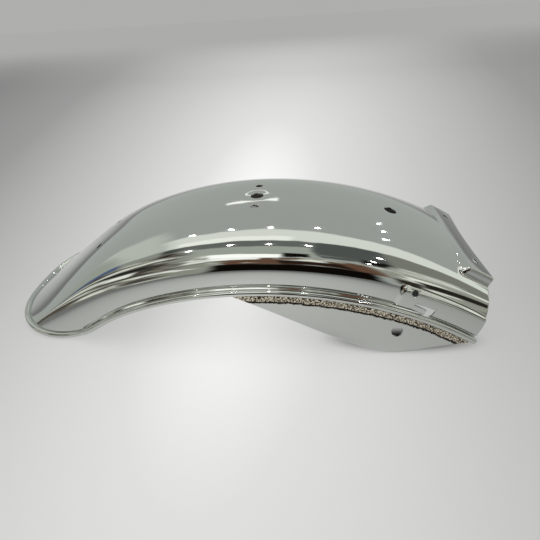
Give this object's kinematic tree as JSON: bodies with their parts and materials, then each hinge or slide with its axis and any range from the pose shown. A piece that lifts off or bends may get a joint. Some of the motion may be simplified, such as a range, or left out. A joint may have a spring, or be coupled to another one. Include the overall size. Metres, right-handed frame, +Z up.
{
  "type": "motorcycle rear mudguard",
  "caption": "Arched chromed sheet-steel rear mudguard with a rolled edge, a round flared tail, side wings, a clip window and bolt holes.",
  "frame": {"origin": "centre of the footprint at the plane that the tail rim and the two wings rest on", "axes": "+X forward along the mudguard, +Y to the left side, +Z up"},
  "size_m": [0.4202, 0.1736, 0.0977],
  "materials": {
    "chrome_plate": "bright chrome plate on pressed sheet steel"
  },
  "bodies": {
    "root": {"mudguard_shell": "chrome_plate"}
  },
  "joints": []
}
